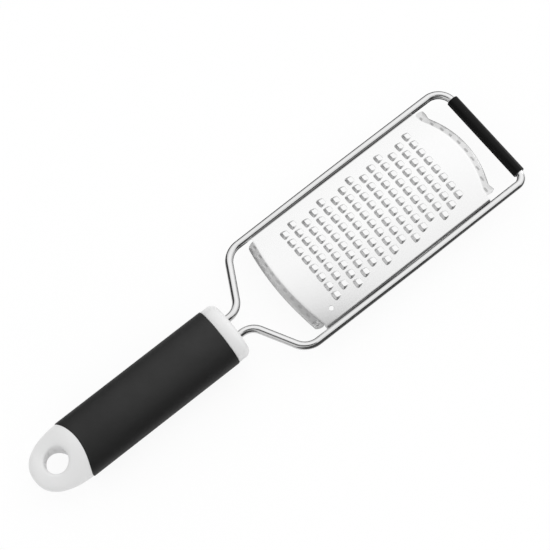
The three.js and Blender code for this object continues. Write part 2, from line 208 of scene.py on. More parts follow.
# Handle.
COLLAR_LENGTH = 8.2
COLLAR_RIM = 3.8
COLLAR_RIM_STEPS = 10
COLLAR_DOME = 0.35
COLLAR_FACE = np.array([0.3, 0.6, 0.85, 0.97])
COLLAR_SEAM = np.array([0.3, 0.1, 0])
WAIST_START = 1.0
WAIST_PAST_GRIP = 1.5
HANDLE_CREASE = 50.0
GRIP_PROUD = 0.3
GRIP_WALL = 2.4
GRIP_EDGE = 0.5
GRIP_HALF_WIDTH = half_size(grip_lo.y, grip_hi.y)
GRIP_HALF_HEIGHT = half_size(grip_lo.z, grip_hi.z)
CORE_HALF_WIDTH = GRIP_HALF_WIDTH - GRIP_PROUD
CORE_HALF_HEIGHT = GRIP_HALF_HEIGHT - GRIP_PROUD
GRIP_LENGTH = 88.5
GRIP_FRONT_X = -COLLAR_LENGTH
GRIP_REAR_X = GRIP_FRONT_X - GRIP_LENGTH
TAIL_ARCH = 4.6
TAIL_END_X = along(core_lo.x)
TAIL_SIDE_X = GRIP_REAR_X - TAIL_ARCH
TAIL_END_HALF_HEIGHT = 5.0
TAIL_OUTLINE_POWER = 2.3
TAIL_TAPER_SHARE = 0.75
TAIL_END_POWER = 10
TAIL_SEAM = 0.02
TAIL_FRONT_SIDES = 40
TAIL_SIDES = 120
TAIL_STEPS = 30
HALVINGS = 50
HANG_HOLE_RADIUS = 6.5
HANG_HOLE_WALL = 8.3
HANG_HOLE_X = TAIL_END_X + HANG_HOLE_WALL + HANG_HOLE_RADIUS
HANG_HOLE_RIM = 2.0
OVAL_SIDES = 120
EDGE_STEPS = 6
TINY = 1e-6


def full_turn(sides):
    """Angles in equal steps round a full turn."""
    return np.arange(sides) * 2 * math.pi / sides


def quarter_turn(steps):
    """Angles in equal steps from 0 to a quarter turn."""
    return np.linspace(0, math.pi / 2, steps)


def grid_quads(rows, columns, wrap_rows=False, wrap_columns=False):
    """Quads between neighbours in a grid of points numbered row by row, and each corner's row and column,
    which run on past a wrap. A wrapped direction joins its last line to its first."""
    row, column = np.meshgrid(
        np.arange(rows if wrap_rows else rows - 1),
        np.arange(columns if wrap_columns else columns - 1),
        indexing="ij",
    )
    corner_row = np.stack([row, row, row + 1, row + 1], -1).reshape(-1, 4)
    corner_column = np.stack([column, column + 1, column + 1, column], -1).reshape(-1, 4)
    quads = corner_row % rows * columns + corner_column % columns
    return quads, corner_row, corner_column


def end_caps(rows, columns):
    """Flat faces that close the first and the last row of a grid whose columns wrap."""
    last = (rows - 1) * columns
    return [list(range(columns))[::-1], list(range(last, last + columns))]


def wall_profile(first, last, wall, edge):
    """Depths below the outside, and places, round the section of a wall: from the bore over two outer
    edges, each a quarter circle, back to the bore."""
    turn = quarter_turn(EDGE_STEPS)
    depth = edge * (1 - np.sin(turn))
    inset = math.copysign(edge, last - first) * (1 - np.cos(turn))
    depths = np.concatenate([[wall], depth, depth[::-1], [wall]])
    return depths, np.concatenate([[first], first + inset, last - inset[::-1], [last]])


def new_piece(name, node, slot, points, faces, crease=35.0, uv=None, marks=None):
    """A mesh of points in tool millimetres, put into the frame. Edges that turn by more than crease
    degrees stay sharp. uv is a pair for each face corner, marks are values for each point."""
    mesh = bpy.data.meshes.new(name)
    mesh.from_pydata((points.reshape(-1, 3) * MM + DATUM).tolist(), [], faces)
    if uv is not None:
        mesh.uv_layers.new(name="run").data.foreach_set("uv", uv.astype(np.float32).ravel())
    for mark, values in (marks or {}).items():
        mesh.attributes.new(mark, "FLOAT", "POINT").data.foreach_set("value", values.astype(np.float32))
    mesh.shade_smooth()
    mesh.set_sharp_from_angle(angle=math.radians(crease))
    mesh.materials.append(FINISHES[slot])
    piece = bpy.data.objects.new(name, mesh)
    bpy.context.scene.collection.objects.link(piece)
    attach(piece, "root")
    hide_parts(node)


# Wire


def bend_arc(before, corner, after, radius):
    """Points on the arc that touches both straights at a corner: from its centre, the spoke to its start
    times the cosine of the turn, plus the way ahead times the sine."""
    back = (before - corner) / np.linalg.norm(before - corner)
    ahead = (after - corner) / np.linalg.norm(after - corner)
    half = math.acos(float(back @ ahead)) / 2
    middle = (back + ahead) / np.linalg.norm(back + ahead)
    centre = corner + middle * radius / math.sin(half)
    spoke = corner + back * radius / math.tan(half) - centre
    turn = np.linspace(0, math.pi - 2 * half, BEND_STEPS + 1)[:, None]
    return centre + spoke * np.cos(turn) - back * radius * np.sin(turn)


def wire_line():
    """Centre line of the wire from one tang's end round the frame to the other's: straights and bend
    arcs."""
    left = np.array([
        [TANG_END_X, NECK_HALF, 0],
        [NECK_X, NECK_HALF, 0],
        [SHOULDER_X, RAIL_Y - SHOULDER_INSET, 0],
        [(SHOULDER_X + CROSSBAR_X) / 2, RAIL_Y + RAIL_BOW, 0],
        [CROSSBAR_X, RAIL_Y - RAIL_BOW, 0],
    ])
    corners = np.concatenate([left, left[::-1] * [1, -1, 1]])
    bends = [NECK_BEND, SHOULDER_BEND, RAIL_BOW_RADIUS]
    radii = [*bends, LEFT_TIP_BEND, RIGHT_TIP_BEND, *bends[::-1]]
    arcs = [bend_arc(*corners[k : k + 3], radius) for k, radius in enumerate(radii)]
    return np.concatenate([corners[:1], *arcs, corners[-1:]])


def wire_piece():
    """A circle carried along the centre line: the radius times the cosine of an angle to the left of the
    line, and times its sine upwards."""
    line = wire_line()
    steps = np.diff(line, axis=0)
    lengths = np.linalg.norm(steps, axis=1)
    ways = steps / lengths[:, None]
    heading = np.concatenate([ways[:1], ways[:-1] + ways[1:], ways[-1:]])
    heading /= np.linalg.norm(heading, axis=1)[:, None]
    left = np.stack([-heading[:, 1], heading[:, 0], np.zeros(len(line))], -1)
    angle = full_turn(WIRE_SIDES)
    ring = np.cos(angle)[:, None] * left[:, None] + np.sin(angle)[:, None] * np.array([0, 0, 1.0])
    points = line[:, None] + WIRE_RADIUS * ring
    quads, row, column = grid_quads(len(line), WIRE_SIDES, wrap_columns=True)
    run = np.concatenate([[0], np.cumsum(lengths)])
    around = column * WIRE_RADIUS * 2 * math.pi / WIRE_SIDES
    uv = np.concatenate([np.stack([run[row], around], -1).reshape(-1, 2), np.zeros((2 * WIRE_SIDES, 2))])
    faces = quads.tolist() + end_caps(len(line), WIRE_SIDES)
    new_piece("drawn_wire", "wire_frame", "polished_steel", points, faces, uv=uv)


# Rubber tube


def tube_piece():
    """A wall's profile turned about the crossbar: its radius times the cosine of an angle along the tool,
    and times its sine upwards."""
    low, high = tube_lo.y / MM - TUBE_OVERHANG, tube_hi.y / MM + TUBE_OVERHANG
    depth, across = wall_profile(low, high, TUBE_RADIUS - TUBE_BORE, TUBE_EDGE)
    radius = TUBE_RADIUS - depth[:, None]
    angle = full_turn(TUBE_SIDES)
    x = CROSSBAR_X + radius * np.cos(angle)
    points = np.stack([x, across[:, None] + 0 * angle, radius * np.sin(angle)], -1)
    quads, _, _ = grid_quads(len(radius), TUBE_SIDES, wrap_rows=True, wrap_columns=True)
    new_piece("tip_tube", "tip_sleeve", "sleeve_rubber", points, quads[:, ::-1].tolist())


# Toothed sheet


def arch(y, half_chord, bulge, ease):
    """A circular arch over a chord, eased into the straight beyond: half of its height plus half of the
    root of that height squared plus the ease squared."""
    radius = (half_chord**2 + bulge**2) / (2 * bulge)
    height = np.sqrt(radius**2 - y**2) - (radius - bulge)
    return (height + np.sqrt(height**2 + ease**2)) / 2


def heel_bend(y):
    """The bend line of the heel's lip: the heel's end less its arch."""
    return HEEL_X - arch(y, LIP_HALF, HEEL_ARCH, HEEL_EASE)


def tip_bend(y):
    """The bend line of the tip's lip: the tip's end plus its arch."""
    return TIP_X + arch(y, TIP_ARCH_HALF, TIP_ARCH, TIP_EASE)


def tab_stretch(y):
    """How much longer the tip's lip is at its ends: a share eased in as three squares less two cubes."""
    part = np.clip((np.abs(y) - TAB_FROM) / TAB_LENGTH, 0, 1)
    return 1 + TAB_STRETCH * (3 * part**2 - 2 * part**3)


def tip_run(x, y):
    """How far a place lies beyond the tip's bend line, over the stretch of the tabs."""
    return (x - tip_bend(y)) / tab_stretch(y)


def lip_fall(run):
    """Fall of a lip at a run beyond its bend line: an arc of the bend's radius, then the tangent of the
    angle, and a quarter circle more at the rim."""
    bent = np.clip(run, 0, LIP_BEND_RADIUS * math.sin(LIP_ANGLE))
    straight = np.maximum(run, 0) - bent
    rim = np.clip(run - LIP_RUN + LIP_RIM, 0, LIP_RIM)
    fall = LIP_BEND_RADIUS - np.sqrt(LIP_BEND_RADIUS**2 - bent**2) + straight * math.tan(LIP_ANGLE)
    return fall + LIP_RIM - np.sqrt(LIP_RIM**2 - rim**2)


def corner_sag(x, y):
    """Sag of the sheet's right heel corner: the square of the way to the heel times a power of the way to
    the side."""
    into_heel = np.clip(1 - (x - HEEL_X) / SAG_LENGTH, 0, None)
    into_side = np.clip((SAG_FROM_Y - y) / SAG_WIDTH, 0, None)
    return CORNER_SAG * into_heel**2 * into_side**SAG_POWER


def sheet_height(x, y):
    """Top of the sheet: the crown less y squared over twice the bow's radius, less the corner's sag and
    less the fall of either lip."""
    bowed = np.clip(y, -BOWED_HALF, BOWED_HALF)
    crown = SHEET_RISE - bowed**2 / (2 * BOW_RADIUS)
    return crown - corner_sag(x, bowed) - lip_fall(heel_bend(y) - x) - lip_fall(tip_run(x, y))


def squarish(angle, heel, tip, half_width, power):
    """Distance from a middle to a rounded oblong: a superellipse that reaches differently to heel and
    tip."""
    reach = np.where(np.cos(angle) < 0, heel, tip)
    sides = np.abs(np.cos(angle) / reach) ** power + np.abs(np.sin(angle) / half_width) ** power
    return sides ** (-1 / power)


def foot_outline(angle):
    """Distance from a tooth hole's middle to the foot of its raised lip, which narrows towards the tip."""
    half_width = HOLE_WIDTH / 2 + TOOTH_SIDE * (1 - np.cos(angle)) / 2
    heel, tip = HOLE_LENGTH / 2 + TOOTH_FRONT, HOLE_LENGTH / 2 + TOOTH_REAR
    return squarish(angle, heel, tip, half_width, FOOT_POWER)


def mark_outline(angle):
    """Distance from a pressed mark's middle to its edge: a superellipse longer across the tool."""
    return squarish(angle, MARK_LENGTH / 2, MARK_LENGTH / 2, MARK_WIDTH / 2, MARK_POWER)


def ring_outline(angle):
    """Distance from a round mark's middle to its edge: the same all round."""
    return RING_RADIUS + 0 * angle


def sheet_stations():
    """Places across the sheet, as top y, fall below the bow, under y and under fall: every millimetre on
    the bow, then a quarter circle of the edge's roll, then the straight flange."""
    turn = quarter_turn(ROLL_STEPS)
    inner = EDGE_ROLL - SHEET_THICKNESS
    roll = [
        BOWED_HALF + EDGE_ROLL * np.sin(turn),
        EDGE_ROLL * (1 - np.cos(turn)),
        BOWED_HALF + inner * np.sin(turn),
        EDGE_ROLL - inner * np.cos(turn),
    ]
    flange = [[SHEET_HALF] * 2, [EDGE_ROLL + FLANGE_DEPTH / 2, EDGE_ROLL + FLANGE_DEPTH]]
    flange += [[SHEET_HALF - SHEET_THICKNESS] * 2, flange[1]]
    half = [np.concatenate([[LIP_HALF, (LIP_HALF + BOWED_HALF) / 2], a, b]) for a, b in zip(roll, flange)]
    half[1][:2] = 0
    half[2][:2] = half[0][:2]
    half[3][:2] = SHEET_THICKNESS
    field = np.arange(-FIELD_HALF, FIELD_HALF + 1.0)
    flat = np.zeros(len(field))
    middle = [field, flat, field, flat + SHEET_THICKNESS]
    mirror = [-1, 1, -1, 1]
    return [np.concatenate([h[::-1] * m, f, h]) for h, m, f in zip(half, mirror, middle)]


def heel_lip_y(y, out):
    """Places across the heel's lip at shares of its run: wider just past the bend, and rounded off
    towards the rim as an ellipse."""
    wider = HEEL_END_WIDER * np.minimum(out / HEEL_END_EASE, 1)
    rounded = HEEL_END_ROUND * (1 - np.sqrt(1 - HEEL_END_SHARE * out**2))
    return y * (1 + (wider - rounded) / LIP_HALF)


def tip_lip_y(y, out):
    """Places across the tip's lip at shares of its run: its ends are arcs, and it is shifted to the left."""
    end = np.sqrt(LIP_END_RADIUS**2 - (LIP_WIDTH * (out - 0.5)) ** 2)
    start = math.sqrt(LIP_END_RADIUS**2 - (LIP_WIDTH / 2) ** 2)
    return y * (1 + (end - start) / LIP_HALF) + TIP_LIP_SHIFT * np.minimum(out / TIP_SHIFT_EASE, 1)


class Sheet:
    """The sheet's top face, a grid whose points each have a twin on the under face. Blocks of its quads
    are opened for holes and marks, and rings of points go into them."""

    def __init__(self):
        """The grid: lines on the heel's lip, its margin, the rows of teeth, the tip's margin and the
        tip's lip, at the sheet's height less the fall of its rolled edges."""
        y, fall, under_y, under_fall = sheet_stations()
        out = LIP_LINES[:, None]
        part = np.linspace(0, 1, MARGIN_STEPS, endpoint=False)[:, None]
        heel_y, tip_y = heel_lip_y(y, out), tip_lip_y(y, out)
        heel, tip = heel_bend(y), tip_bend(y)
        rows = FIRST_ROW_X + np.arange(ROWS * ROW_STEPS)[:, None] * ROW_PITCH / ROW_STEPS
        x = np.concatenate([
            heel_bend(heel_y) - out * LIP_RUN,
            heel + part * (FIRST_ROW_X - heel),
            rows + 0 * y,
            LAST_ROW_X + part * (tip - LAST_ROW_X),
            tip[None],
            (tip_bend(tip_y) + out * LIP_RUN * tab_stretch(tip_y))[::-1],
        ])
        self.lines, self.stations = x.shape
        between = (self.lines - 2 * LIP_STEPS, self.stations)
        top_y = np.concatenate([heel_y, np.broadcast_to(y, between), tip_y[::-1]])
        sunk_y = np.concatenate([heel_y, np.broadcast_to(under_y, between), tip_y[::-1]])
        height = sheet_height(x, top_y)
        self.top = np.stack([x, top_y, height - fall], -1).reshape(-1, 3)
        self.under = np.stack([x, sunk_y, height - under_fall], -1).reshape(-1, 3)
        self.edge = np.zeros(len(self.top))
        self.mark = np.zeros(len(self.top))
        self.quads = []
        self.bare = np.ones((self.lines - 1, self.stations - 1), bool)
        beside = np.abs(y) > LIP_HALF + TINY
        beside = beside[1:] | beside[:-1]
        self.bare[:LIP_STEPS, beside] = False
        self.bare[-LIP_STEPS:, beside] = False

    def station(self, y):
        """Number of the grid's station nearest to a place across the sheet."""
        return self.stations // 2 + np.rint(y).astype(int)

    def open_blocks(self, line, station, deep, wide):
        """Takes blocks of quads out of the grid, and gives the numbers of the points round each of them,
        counter-clockwise from its first corner."""
        up, over = np.arange(deep), np.arange(wide)
        self.bare[line[:, None, None] + up[:, None], station[:, None, None] + over] = False
        walk_line = np.concatenate([up, np.full(wide, deep), deep - up, np.zeros(wide, int)])
        walk_station = np.concatenate([np.zeros(deep, int), over, np.full(deep, wide), wide - over])
        return (line[:, None] + walk_line) * self.stations + station[:, None] + walk_station

    def angles(self, rims, middle):
        """Angles from the middles of opened blocks to the points of their rims."""
        offset = self.top[rims][..., :2] - middle[:, None]
        return np.arctan2(offset[..., 1], offset[..., 0])[:, None]

    def rings(self, rims, middle, radii, lift, edge=0, mark=0):
        """Rings in opened blocks: the middle plus each radius in the direction of the rim's points,
        lifted off the sheet. Quads join the rim to the first ring and each ring to the next."""
        offset = self.top[rims][..., :2] - middle[:, None]
        reach = np.hypot(offset[..., 0], offset[..., 1])[:, None]
        angle = self.angles(rims, middle)
        radius = np.minimum(radii, RING_LIMIT * reach)
        x = middle[:, :1, None] + radius * np.cos(angle)
        y = middle[:, 1:, None] + radius * np.sin(angle)
        points = np.stack([x, y, sheet_height(x, y) + lift], -1)
        numbers = len(self.top) + np.arange(x.size).reshape(x.shape)
        self.top = np.concatenate([self.top, points.reshape(-1, 3)])
        self.under = np.concatenate([self.under, points.reshape(-1, 3) - [0, 0, SHEET_THICKNESS]])
        self.edge = np.concatenate([self.edge, np.broadcast_to(edge, x.shape).ravel()])
        self.mark = np.concatenate([self.mark, np.broadcast_to(mark, x.shape).ravel()])
        loops = np.concatenate([rims[:, None], numbers], 1)
        following = np.roll(loops, -1, axis=2)
        quads = np.stack([loops[:, :-1], following[:, :-1], following[:, 1:], loops[:, 1:]], -1)
        self.quads.append(quads.reshape(-1, 4))
        return numbers[:, -1]

    def fill(self, inner):
        """Closes the inside of innermost rings with strips of quads between points on either side."""
        count = inner.shape[1]
        k = np.arange(count // 2 - 1)
        corners = [k, k + 1, count - 2 - k, count - 1 - k]
        strips = np.stack([inner[:, corner] for corner in corners], -1)
        self.quads.append(strips.reshape(-1, 4))

    def closed(self):
        """Top, under face and a wall along each free edge, without points that no face uses."""
        grid, _, _ = grid_quads(self.lines, self.stations)
        quads = np.concatenate([*self.quads, grid[self.bare.ravel()][:, ::-1]])
        twin = len(self.top)
        sides = np.concatenate([quads[:, [0, 1]], quads[:, [1, 2]], quads[:, [2, 3]], quads[:, [3, 0]]])
        _, first, count = np.unique(np.sort(sides, 1), axis=0, return_index=True, return_counts=True)
        free = sides[first[count == 1]]
        walls = np.stack([free[:, 1], free[:, 0], free[:, 0] + twin, free[:, 1] + twin], -1)
        faces = np.concatenate([quads, quads[:, ::-1] + twin, walls])
        used, numbers = np.unique(faces, return_inverse=True)
        points = np.concatenate([self.top, self.under])[used]
        edge = np.concatenate([self.edge, self.edge])[used]
        mark = np.concatenate([self.mark, self.mark])[used]
        return points, numbers.reshape(-1, 4), edge, mark


def punch_teeth(sheet):
    """Rows of teeth, shifted from row to row. Rings lie at shares of the way from the hole's outline to
    the foot's. A lip's height falls with a power of the way along the hole to the tip, and rises with a
    power of the way up its slope."""
    row, column = np.indices((ROWS, COLUMNS)).reshape(2, -1)
    shift = ROW_SHIFTS[row % len(ROW_SHIFTS)] * COLUMN_PITCH / len(ROW_SHIFTS)
    y = (column - (COLUMNS - 1) / 2) * COLUMN_PITCH + shift
    x = FIRST_ROW_X + row * ROW_PITCH + EDGE_FROM_ROW + HOLE_LENGTH / 2
    line = LIP_STEPS + MARGIN_STEPS + row * ROW_STEPS
    rims = sheet.open_blocks(line, sheet.station(y - COLUMN_PITCH / 2), ROW_STEPS, int(COLUMN_PITCH))
    middle = np.stack([x, y], -1)
    angle = sheet.angles(rims, middle)
    hole = squarish(angle, HOLE_LENGTH / 2, HOLE_LENGTH / 2, HOLE_WIDTH / 2, HOLE_POWER)
    foot = foot_outline(angle)
    share = TOOTH_SHARES[:, None]
    place = np.clip(0.5 + hole * np.cos(angle) / HOLE_LENGTH, 0, 1)
    slope = np.clip(1 - share, 0, 1) ** TOOTH_SLOPE_POWER
    lift = TOOTH_HEIGHT * (1 - place) ** TOOTH_FALL_POWER * slope
    sheet.rings(rims, middle, hole + share * (foot - hole), lift, edge=1 - share)


def punch_corner_hole(sheet):
    """The round hole in the right heel corner, with a slightly sunk edge."""
    line = np.array([LIP_STEPS + CORNER_HOLE_STEP])
    station = sheet.station(np.array(CORNER_HOLE[1:])) - CORNER_HOLE_STATIONS // 2
    rims = sheet.open_blocks(line, station, CORNER_HOLE_STATIONS, CORNER_HOLE_STATIONS)
    radii = CORNER_HOLE_SHARES[:, None] * CORNER_HOLE_RADIUS
    sheet.rings(rims, np.array([CORNER_HOLE]), radii, -CORNER_HOLE_SINKS[:, None])


def press_marks(sheet, first_line, x, y, outline, shares, sinks, tones):
    """Marks pressed into a lip: rings at shares of an outline, sunk into the sheet and closed in the
    middle."""
    station = sheet.station(y) - MARK_STATIONS // 2
    rims = sheet.open_blocks(np.full(len(y), first_line), station, MARK_STEPS, MARK_STATIONS)
    middle = np.stack([x, y], -1)
    radii = shares[:, None] * outline(sheet.angles(rims, middle))
    sheet.fill(sheet.rings(rims, middle, radii, -sinks[:, None], mark=tones[:, None]))


def press_lips(sheet):
    """A row of oblong marks along each lip, and a round one at the right end of the heel's."""
    oblong = (mark_outline, MARK_SHARES, MARK_SINKS, MARK_TONES)
    ring = (ring_outline, RING_SHARES, RING_SINKS, RING_TONES)
    heel_line = MARK_FIRST_STEP
    tip_line = sheet.lines - 1 - MARK_FIRST_STEP - MARK_STEPS
    y = (np.arange(MARKS) - (MARKS - 1) / 2) * MARK_PITCH
    press_marks(sheet, heel_line, heel_bend(y[1:]) - MARK_FROM_BEND, y[1:], *oblong)
    press_marks(sheet, tip_line, tip_bend(y) + MARK_FROM_BEND, y, *oblong)
    press_marks(sheet, heel_line, heel_bend(y[:1]) - RING_FROM_BEND, y[:1], *ring)


def sheet_zones(x, y):
    """How far places on the sheet are into either lip, the tip's rim or the painted shade of the grooves
    along the rails, from 0 to 1."""
    past_heel = heel_bend(y) - x
    past_tip = tip_run(x, y)
    # The painted shade of the rail grooves reaches further in where the heel corner sags.
    into_shade = np.abs(y) - GROOVE_SHADE_FROM + corner_sag(x, y) / 2
    return {
        "heel_lip": np.clip(past_heel / LIP_FADE, 0, 1),
        "tip_lip": np.clip(past_tip / LIP_FADE, 0, 1),
        "lip_rim": np.clip((past_tip - LIP_RUN + LIP_RIM) / LIP_RIM, 0, 1),
        "groove_shade": np.clip(into_shade / GROOVE_SHADE_FADE, 0, 1) * (past_heel < 0) * (past_tip < 0),
    }


def sheet_piece():
    """The bowed sheet with its teeth, its corner hole and the marks in its lips."""
    sheet = Sheet()
    punch_teeth(sheet)
    punch_corner_hole(sheet)
    press_lips(sheet)
    points, quads, edge, mark = sheet.closed()
    marks = {"cutting_edge": edge, "pressed_mark": mark, **sheet_zones(points[:, 0], points[:, 1])}
    faces = quads.tolist()
    new_piece("toothed_sheet", "grating_plate", "satin_steel", points, faces, SHEET_CREASE, marks=marks)


# Handle


def oval_rings(x, half_width, half_height, bow):
    """Oval rings: x less the bow times the sine squared, the half width times the sine across and the
    half height times the cosine upwards."""
    angle = full_turn(OVAL_SIDES)
    side, up = np.sin(angle), np.cos(angle)
    return np.stack([
        x[:, None] - bow[:, None] * side**2,
        half_width[:, None] * side,
        half_height[:, None] * up,
    ], -1)


def collar_piece():
    """Oval rings from a domed front face over a rim of quarter circles to the grip's front edge, then in
    to the waist and through the grip to the tail."""
    turn = quarter_turn(COLLAR_RIM_STEPS)
    rim = COLLAR_RIM * (1 - np.sin(turn))
    x = np.concatenate([
        COLLAR_DOME * (1 - COLLAR_FACE**2),
        COLLAR_RIM * (np.cos(turn) - 1),
        GRIP_FRONT_X + COLLAR_SEAM,
        [GRIP_FRONT_X, GRIP_FRONT_X - WAIST_START, GRIP_REAR_X - WAIST_PAST_GRIP],
    ])
    half_width, half_height = (
        np.concatenate([
            (core - COLLAR_RIM) * COLLAR_FACE,
            core - rim,
            core - COLLAR_SEAM[0] + COLLAR_SEAM,
            [grip - GRIP_WALL] * 3,
        ])
        for core, grip in ((CORE_HALF_WIDTH, GRIP_HALF_WIDTH), (CORE_HALF_HEIGHT, GRIP_HALF_HEIGHT))
    )
    bow = np.zeros(len(x))
    bow[-1] = TAIL_ARCH
    points = oval_rings(x, half_width, half_height, bow)
    quads, _, _ = grid_quads(len(x), OVAL_SIDES, wrap_columns=True)
    faces = quads.tolist() + end_caps(len(x), OVAL_SIDES)
    new_piece("white_collar", "handle_core", "white_plastic", points, faces, HANDLE_CREASE)


def grip_piece():
    """A wall's profile carried round the grip's oval. Its rear edge bows back at the sides."""
    depth, x = wall_profile(GRIP_FRONT_X, GRIP_REAR_X, GRIP_WALL, GRIP_EDGE)
    bow = np.where(x < (GRIP_FRONT_X + GRIP_REAR_X) / 2, TAIL_ARCH, 0)
    points = oval_rings(x, GRIP_HALF_WIDTH - depth, GRIP_HALF_HEIGHT - depth, bow)
    quads, _, _ = grid_quads(len(x), OVAL_SIDES, wrap_rows=True, wrap_columns=True)
    new_piece("soft_black_grip", "soft_grip", "grip_rubber", points, quads.tolist(), HANDLE_CREASE)


def tail_half_width(x):
    """Half width of the tail: that of the core times a superellipse's, from the grip's edge to the end."""
    share = np.clip((TAIL_SIDE_X - x) / (TAIL_SIDE_X - TAIL_END_X), 0, 1)
    return CORE_HALF_WIDTH * (1 - share**TAIL_OUTLINE_POWER) ** (1 / TAIL_OUTLINE_POWER)


def tail_half_height(x):
    """Half height of the tail: eased by a cosine from the core's to the end's, and rounded over at the
    end."""
    share = np.clip((GRIP_REAR_X - x) / (GRIP_REAR_X - TAIL_END_X), 0, 1)
    ease = (1 + np.cos(math.pi * np.minimum(share / TAIL_TAPER_SHARE, 1))) / 2
    tapered = TAIL_END_HALF_HEIGHT + (CORE_HALF_HEIGHT - TAIL_END_HALF_HEIGHT) * ease
    return tapered * np.sqrt(1 - share**TAIL_END_POWER)


def tail_reach(angle):
    """Distance from the hang hole's middle to the tail's outline: the bowed front, for angles towards the
    grip, or else the superellipse, found by halving."""
    depth = GRIP_REAR_X - HANG_HOLE_X
    bow = TAIL_ARCH * (np.sin(angle) / CORE_HALF_WIDTH) ** 2
    slope = np.cos(angle) + np.sqrt(np.cos(angle) ** 2 + 4 * bow * depth)
    front = 2 * depth / np.maximum(slope, TINY)
    low = np.zeros(len(angle))
    high = np.full(len(angle), 2.0 * CORE_HALF_WIDTH)
    for _ in range(HALVINGS):
        middle = (low + high) / 2
        x = HANG_HOLE_X + middle * np.cos(angle)
        inside = (x > TAIL_END_X) & (np.abs(middle * np.sin(angle)) < tail_half_width(x))
        low = np.where(inside, middle, low)
        high = np.where(inside, high, middle)
    return np.where(np.abs(angle) <= tail_corner() + TINY, front, low)


def tail_corner():
    """The angle, about the hang hole, of the corner between the tail's bowed front and its side."""
    return math.atan2(CORE_HALF_WIDTH, TAIL_SIDE_X - HANG_HOLE_X)


def tail_piece():
    """A ring about the hang hole. At each angle a loop runs over the top from the hole to the outline, at
    distances spaced as a cosine, and back underneath: the height is the tail's half height times an
    ellipse across it, less a quarter circle at the hole's rim."""
    corner = tail_corner()
    angle = np.concatenate([
        np.linspace(-corner, corner, TAIL_FRONT_SIDES, endpoint=False),
        np.linspace(corner, 2 * math.pi - corner, TAIL_SIDES, endpoint=False),
    ])
    angle = (angle + math.pi) % (2 * math.pi) - math.pi
    front = np.abs(angle) < corner - TINY
    reach = (tail_reach(angle) - np.where(front, 0, TAIL_SEAM))[:, None]
    share = (1 - np.cos(np.linspace(0, math.pi, TAIL_STEPS))) / 2
    distance = HANG_HOLE_RADIUS + (reach - HANG_HOLE_RADIUS) * share
    x = HANG_HOLE_X + distance * np.cos(angle)[:, None]
    y = distance * np.sin(angle)[:, None]
    width = np.maximum(tail_half_width(x), TINY)
    round_over = np.sqrt(np.clip(1 - (y / width) ** 2, 0, 1))
    height = tail_half_height(x) * round_over
    rim = np.clip(HANG_HOLE_RIM - (distance - HANG_HOLE_RADIUS), 0, None)
    height = height - (HANG_HOLE_RIM - np.sqrt(HANG_HOLE_RIM**2 - rim**2))
    top = np.stack([x, y, height], -1)
    points = np.concatenate([top, top[:, ::-1] * [1, 1, -1]], 1)
    quads, _, _ = grid_quads(*points.shape[:2], wrap_rows=True, wrap_columns=True)
    new_piece("white_tail", "handle_core", "white_plastic", points, quads.tolist(), HANDLE_CREASE)


# Finishes

FINER_STREAKS = 3.7
SOFTER_GRAIN = 0.6


def new_group(name, inputs, outputs):
    """A shader node group with named sockets, and its entry and exit nodes."""
    tree = bpy.data.node_groups.new(name, "ShaderNodeTree")
    for socket in inputs:
        kind = "NodeSocketVector" if socket == "Vector" else "NodeSocketFloat"
        tree.interface.new_socket(socket, in_out="INPUT", socket_type=kind)
    for socket in outputs:
        tree.interface.new_socket(socket, in_out="OUTPUT", socket_type="NodeSocketFloat")
    return tree, tree.nodes.new("NodeGroupInput"), tree.nodes.new("NodeGroupOutput")


def math_node(tree, operation, first, second):
    """A Math node with its two inputs, each a socket or a number."""
    node = tree.nodes.new("ShaderNodeMath")
    node.operation = operation
    for socket, value in zip(node.inputs, (first, second)):
        if isinstance(value, (int, float)):
            socket.default_value = value
        else:
            tree.links.new(value, socket)
    return node.outputs[0]


def mean(tree, first, second):
    """Half of the sum of two values."""
    return math_node(tree, "MULTIPLY", math_node(tree, "ADD", first, second), 0.5)


def mapped(tree, value, start, end, low, high):
    """Maps a value from start and end to low and high, kept within them."""
    node = tree.nodes.new("ShaderNodeMapRange")
    for socket, number in zip(("From Min", "From Max", "To Min", "To Max"), (start, end, low, high)):
        node.inputs[socket].default_value = number
    tree.links.new(value, node.inputs["Value"])
    return node.outputs["Result"]


def noise(tree, vector, scale, detail, roughness=0.55):
    """A noise texture's value, from about 0 to 1."""
    node = tree.nodes.new("ShaderNodeTexNoise")
    node.inputs["Detail"].default_value = detail
    node.inputs["Roughness"].default_value = roughness
    tree.links.new(vector, node.inputs["Vector"])
    tree.links.new(scale, node.inputs["Scale"])
    return node.outputs[0]


def drawn_streaks():
    """Streaks of drawn or rolled metal: two noises, fine and finer, on coordinates stretched by the
    material."""
    tree, entry, leave = new_group("drawn_streaks", ["Vector", "Scale"], ["Streak"])
    broad = noise(tree, entry.outputs["Vector"], entry.outputs["Scale"], detail=2)
    finer_scale = math_node(tree, "MULTIPLY", entry.outputs["Scale"], FINER_STREAKS)
    finer = noise(tree, entry.outputs["Vector"], finer_scale, detail=3)
    tree.links.new(mean(tree, broad, finer), leave.inputs["Streak"])
    return tree


def moulded_grain():
    """Fine pebbled grain of moulded plastic and rubber: rounded cells, softened by a noise."""
    tree, entry, leave = new_group("moulded_grain", ["Vector", "Scale"], ["Grain"])
    cells = tree.nodes.new("ShaderNodeTexVoronoi")
    cells.feature = "SMOOTH_F1"
    tree.links.new(entry.outputs["Vector"], cells.inputs["Vector"])
    tree.links.new(entry.outputs["Scale"], cells.inputs["Scale"])
    soft_scale = math_node(tree, "MULTIPLY", entry.outputs["Scale"], SOFTER_GRAIN)
    soft = noise(tree, entry.outputs["Vector"], soft_scale, detail=3)
    tree.links.new(mean(tree, cells.outputs["Distance"], soft), leave.inputs["Grain"])
    return tree


